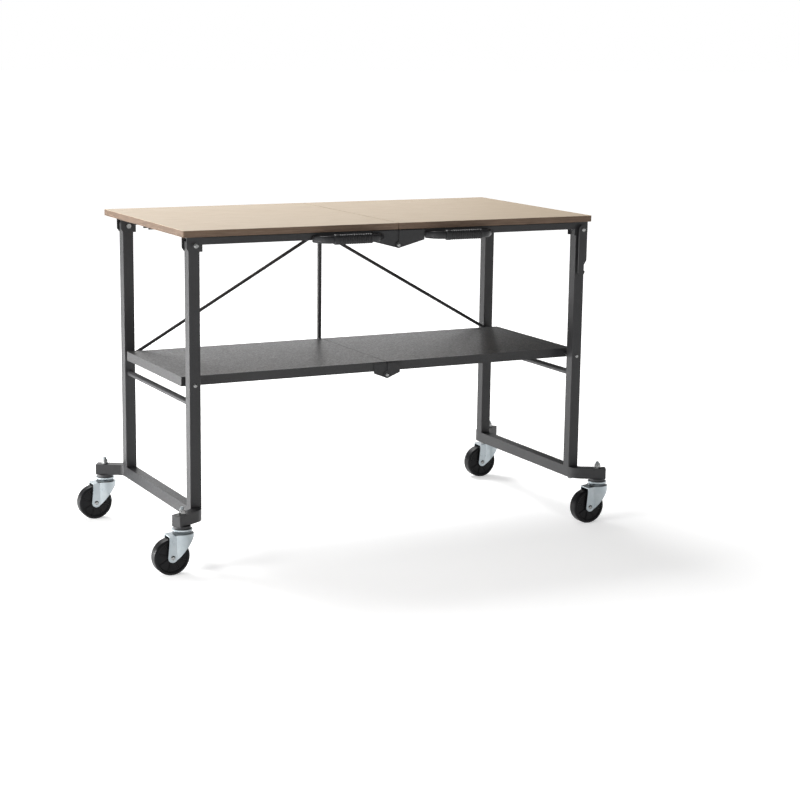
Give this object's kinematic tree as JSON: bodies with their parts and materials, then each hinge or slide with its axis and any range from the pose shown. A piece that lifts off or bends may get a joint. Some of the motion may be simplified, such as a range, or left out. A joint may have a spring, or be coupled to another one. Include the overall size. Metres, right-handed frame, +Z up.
{
  "type": "folding work and sewing table",
  "caption": "Rolling work table with a two-part top and lower shelf that hinge at the middle, so that its leg frames close together and lock with a swing hook.",
  "frame": {"origin": "on the floor, under the middle of the whole footprint, wheels included", "axes": "+X along the length, to the right seen from the side with the handles, +Y from that side to the rear, +Z up; top open, casters trailing to -X"},
  "size_m": [1.4273, 0.716, 0.911],
  "materials": {
    "worktop": "satin birch-coloured surface on fibreboard, with brown edge banding",
    "frame_paint": "fine-textured charcoal powder coat",
    "shelf_paint": "fine-textured charcoal powder coat on sheet steel",
    "zinc": "bright zinc plating",
    "handle": "moulded black",
    "grip": "soft ribbed black",
    "cap": "moulded dark grey",
    "wheel": "hard black nylon, slightly glossy"
  },
  "bodies": {
    "left_legs": {"front_leg_left": "frame_paint", "rear_leg_left": "frame_paint", "base_rail_left": "frame_paint", "cross_tube_left": "frame_paint", "plugs_and_spacers_left": "cap", "caster_stems_left": "zinc", "caster_nuts_left": "zinc", "foot_bolts_left": "zinc", "pivot_bolts_left": "zinc"},
    "left_top": {"panel_left": "worktop", "front_rail_left": "frame_paint", "rear_rail_left": "frame_paint", "cross_rails_left": "frame_paint", "leg_brackets_left": "frame_paint", "hinge_plates_left": "frame_paint", "handle_bar_left": "handle", "handle_grip_left": "grip", "panel_screws_left": "zinc", "top_hinge_bolts": "zinc"},
    "right_top": {"panel_right": "worktop", "front_rail_right": "frame_paint", "rear_rail_right": "frame_paint", "cross_rails_right": "frame_paint", "leg_brackets_right": "frame_paint", "hinge_plates_right": "frame_paint", "handle_bar_right": "handle", "handle_grip_right": "grip", "panel_screws_right": "zinc"},
    "right_legs": {"front_leg_right": "frame_paint", "rear_leg_right": "frame_paint", "base_rail_right": "frame_paint", "cross_tube_right": "frame_paint", "plugs_and_spacers_right": "cap", "caster_stems_right": "zinc", "caster_nuts_right": "zinc", "foot_bolts_right": "zinc", "pivot_bolts_right": "zinc"},
    "left_shelf": {"shelf_left": "shelf_paint", "shelf_hinge_plates_left": "frame_paint", "shelf_hinge_bolts": "zinc"},
    "right_shelf": {"shelf_right": "shelf_paint", "shelf_hinge_plates_right": "frame_paint"},
    "rod": {"centre_rod": "frame_paint"},
    "collar": {"brace_collar": "frame_paint"},
    "left_brace": {"brace_left": "frame_paint"},
    "right_brace": {"brace_right": "frame_paint"},
    "latch": {"latch_hook": "frame_paint"},
    "front_left_caster": {"fork_front_left": "zinc", "axle_front_left": "zinc"},
    "front_left_wheel": {"wheel_front_left": "wheel"},
    "rear_left_caster": {"fork_rear_left": "zinc", "axle_rear_left": "zinc"},
    "rear_left_wheel": {"wheel_rear_left": "wheel"},
    "front_right_caster": {"fork_front_right": "zinc", "axle_front_right": "zinc"},
    "front_right_wheel": {"wheel_front_right": "wheel"},
    "rear_right_caster": {"fork_rear_right": "zinc", "axle_rear_right": "zinc"},
    "rear_right_wheel": {"wheel_rear_right": "wheel"}
  },
  "joints": [
    {"name": "fold", "type": "hinge", "parent": "left_legs", "child": "left_top", "pos_m": [-0.5725, 0, 0.872], "axis": [0, -1, 0], "range_deg": [0, 86.75]},
    {"name": "top_centre_hinge", "type": "hinge", "parent": "left_top", "child": "right_top", "pos_m": [0.0265, 0, 0.85], "axis": [0, -1, 0], "range_deg": [-173.5, 0]},
    {"name": "right_leg_hinge", "type": "hinge", "parent": "right_top", "child": "right_legs", "pos_m": [0.6255, 0, 0.872], "axis": [0, -1, 0], "range_deg": [0, 86.75]},
    {"name": "left_shelf_hinge", "type": "hinge", "parent": "left_legs", "child": "left_shelf", "pos_m": [-0.5725, 0, 0.497], "axis": [0, -1, 0], "range_deg": [0, 86.75]},
    {"name": "shelf_centre_hinge", "type": "hinge", "parent": "left_shelf", "child": "right_shelf", "pos_m": [0.0265, 0, 0.475], "axis": [0, -1, 0], "range_deg": [-173.5, 0]},
    {"name": "rod_hinge", "type": "hinge", "parent": "left_top", "child": "rod", "pos_m": [0.0265, 0, 0.85], "axis": [0, -1, 0], "range_deg": [-86.75, 0]},
    {"name": "collar_slide", "type": "slide", "parent": "rod", "child": "collar", "axis": [0, 0, -1], "range_m": [0, 0.28168]},
    {"name": "left_brace_hinge", "type": "hinge", "parent": "left_legs", "child": "left_brace", "pos_m": [-0.5725, 0, 0.497], "axis": [0, -1, 0], "range_deg": [0, 57.23]},
    {"name": "right_brace_hinge", "type": "hinge", "parent": "right_legs", "child": "right_brace", "pos_m": [0.6255, 0, 0.497], "axis": [0, -1, 0], "range_deg": [-57.23, 0]},
    {"name": "latch_swing", "type": "hinge", "parent": "right_legs", "child": "latch", "pos_m": [0.6255, 0, 0.872], "axis": [0, 1, 0], "range_deg": [0, 95.4]},
    {"name": "front_left_swivel", "type": "hinge", "parent": "left_legs", "child": "front_left_caster", "pos_m": [-0.62966, -0.323, 0.11], "axis": [0, 0, 1], "continuous": true},
    {"name": "front_left_roll", "type": "hinge", "parent": "front_left_caster", "child": "front_left_wheel", "pos_m": [-0.66366, -0.323, 0.05], "axis": [0, 1, 0], "continuous": true},
    {"name": "rear_left_swivel", "type": "hinge", "parent": "left_legs", "child": "rear_left_caster", "pos_m": [-0.62966, 0.323, 0.11], "axis": [0, 0, 1], "continuous": true},
    {"name": "rear_left_roll", "type": "hinge", "parent": "rear_left_caster", "child": "rear_left_wheel", "pos_m": [-0.66366, 0.323, 0.05], "axis": [0, 1, 0], "continuous": true},
    {"name": "front_right_swivel", "type": "hinge", "parent": "right_legs", "child": "front_right_caster", "pos_m": [0.68266, -0.323, 0.11], "axis": [0, 0, 1], "continuous": true},
    {"name": "front_right_roll", "type": "hinge", "parent": "front_right_caster", "child": "front_right_wheel", "pos_m": [0.64866, -0.323, 0.05], "axis": [0, 1, 0], "continuous": true},
    {"name": "rear_right_swivel", "type": "hinge", "parent": "right_legs", "child": "rear_right_caster", "pos_m": [0.68266, 0.323, 0.11], "axis": [0, 0, 1], "continuous": true},
    {"name": "rear_right_roll", "type": "hinge", "parent": "rear_right_caster", "child": "rear_right_wheel", "pos_m": [0.64866, 0.323, 0.05], "axis": [0, 1, 0], "continuous": true}
  ],
  "couplings": [
    {"joint": "top_centre_hinge", "follows": "fold", "ratio": -2},
    {"joint": "right_leg_hinge", "follows": "fold", "ratio": 1},
    {"joint": "left_shelf_hinge", "follows": "fold", "ratio": 1},
    {"joint": "shelf_centre_hinge", "follows": "fold", "ratio": -2},
    {"joint": "rod_hinge", "follows": "fold", "ratio": -1},
    {"joint": "collar_slide", "follows": "fold", "m_per_rad": 0.18571},
    {"joint": "left_brace_hinge", "follows": "fold", "ratio": 0.65963},
    {"joint": "right_brace_hinge", "follows": "fold", "ratio": -0.65963}
  ]
}
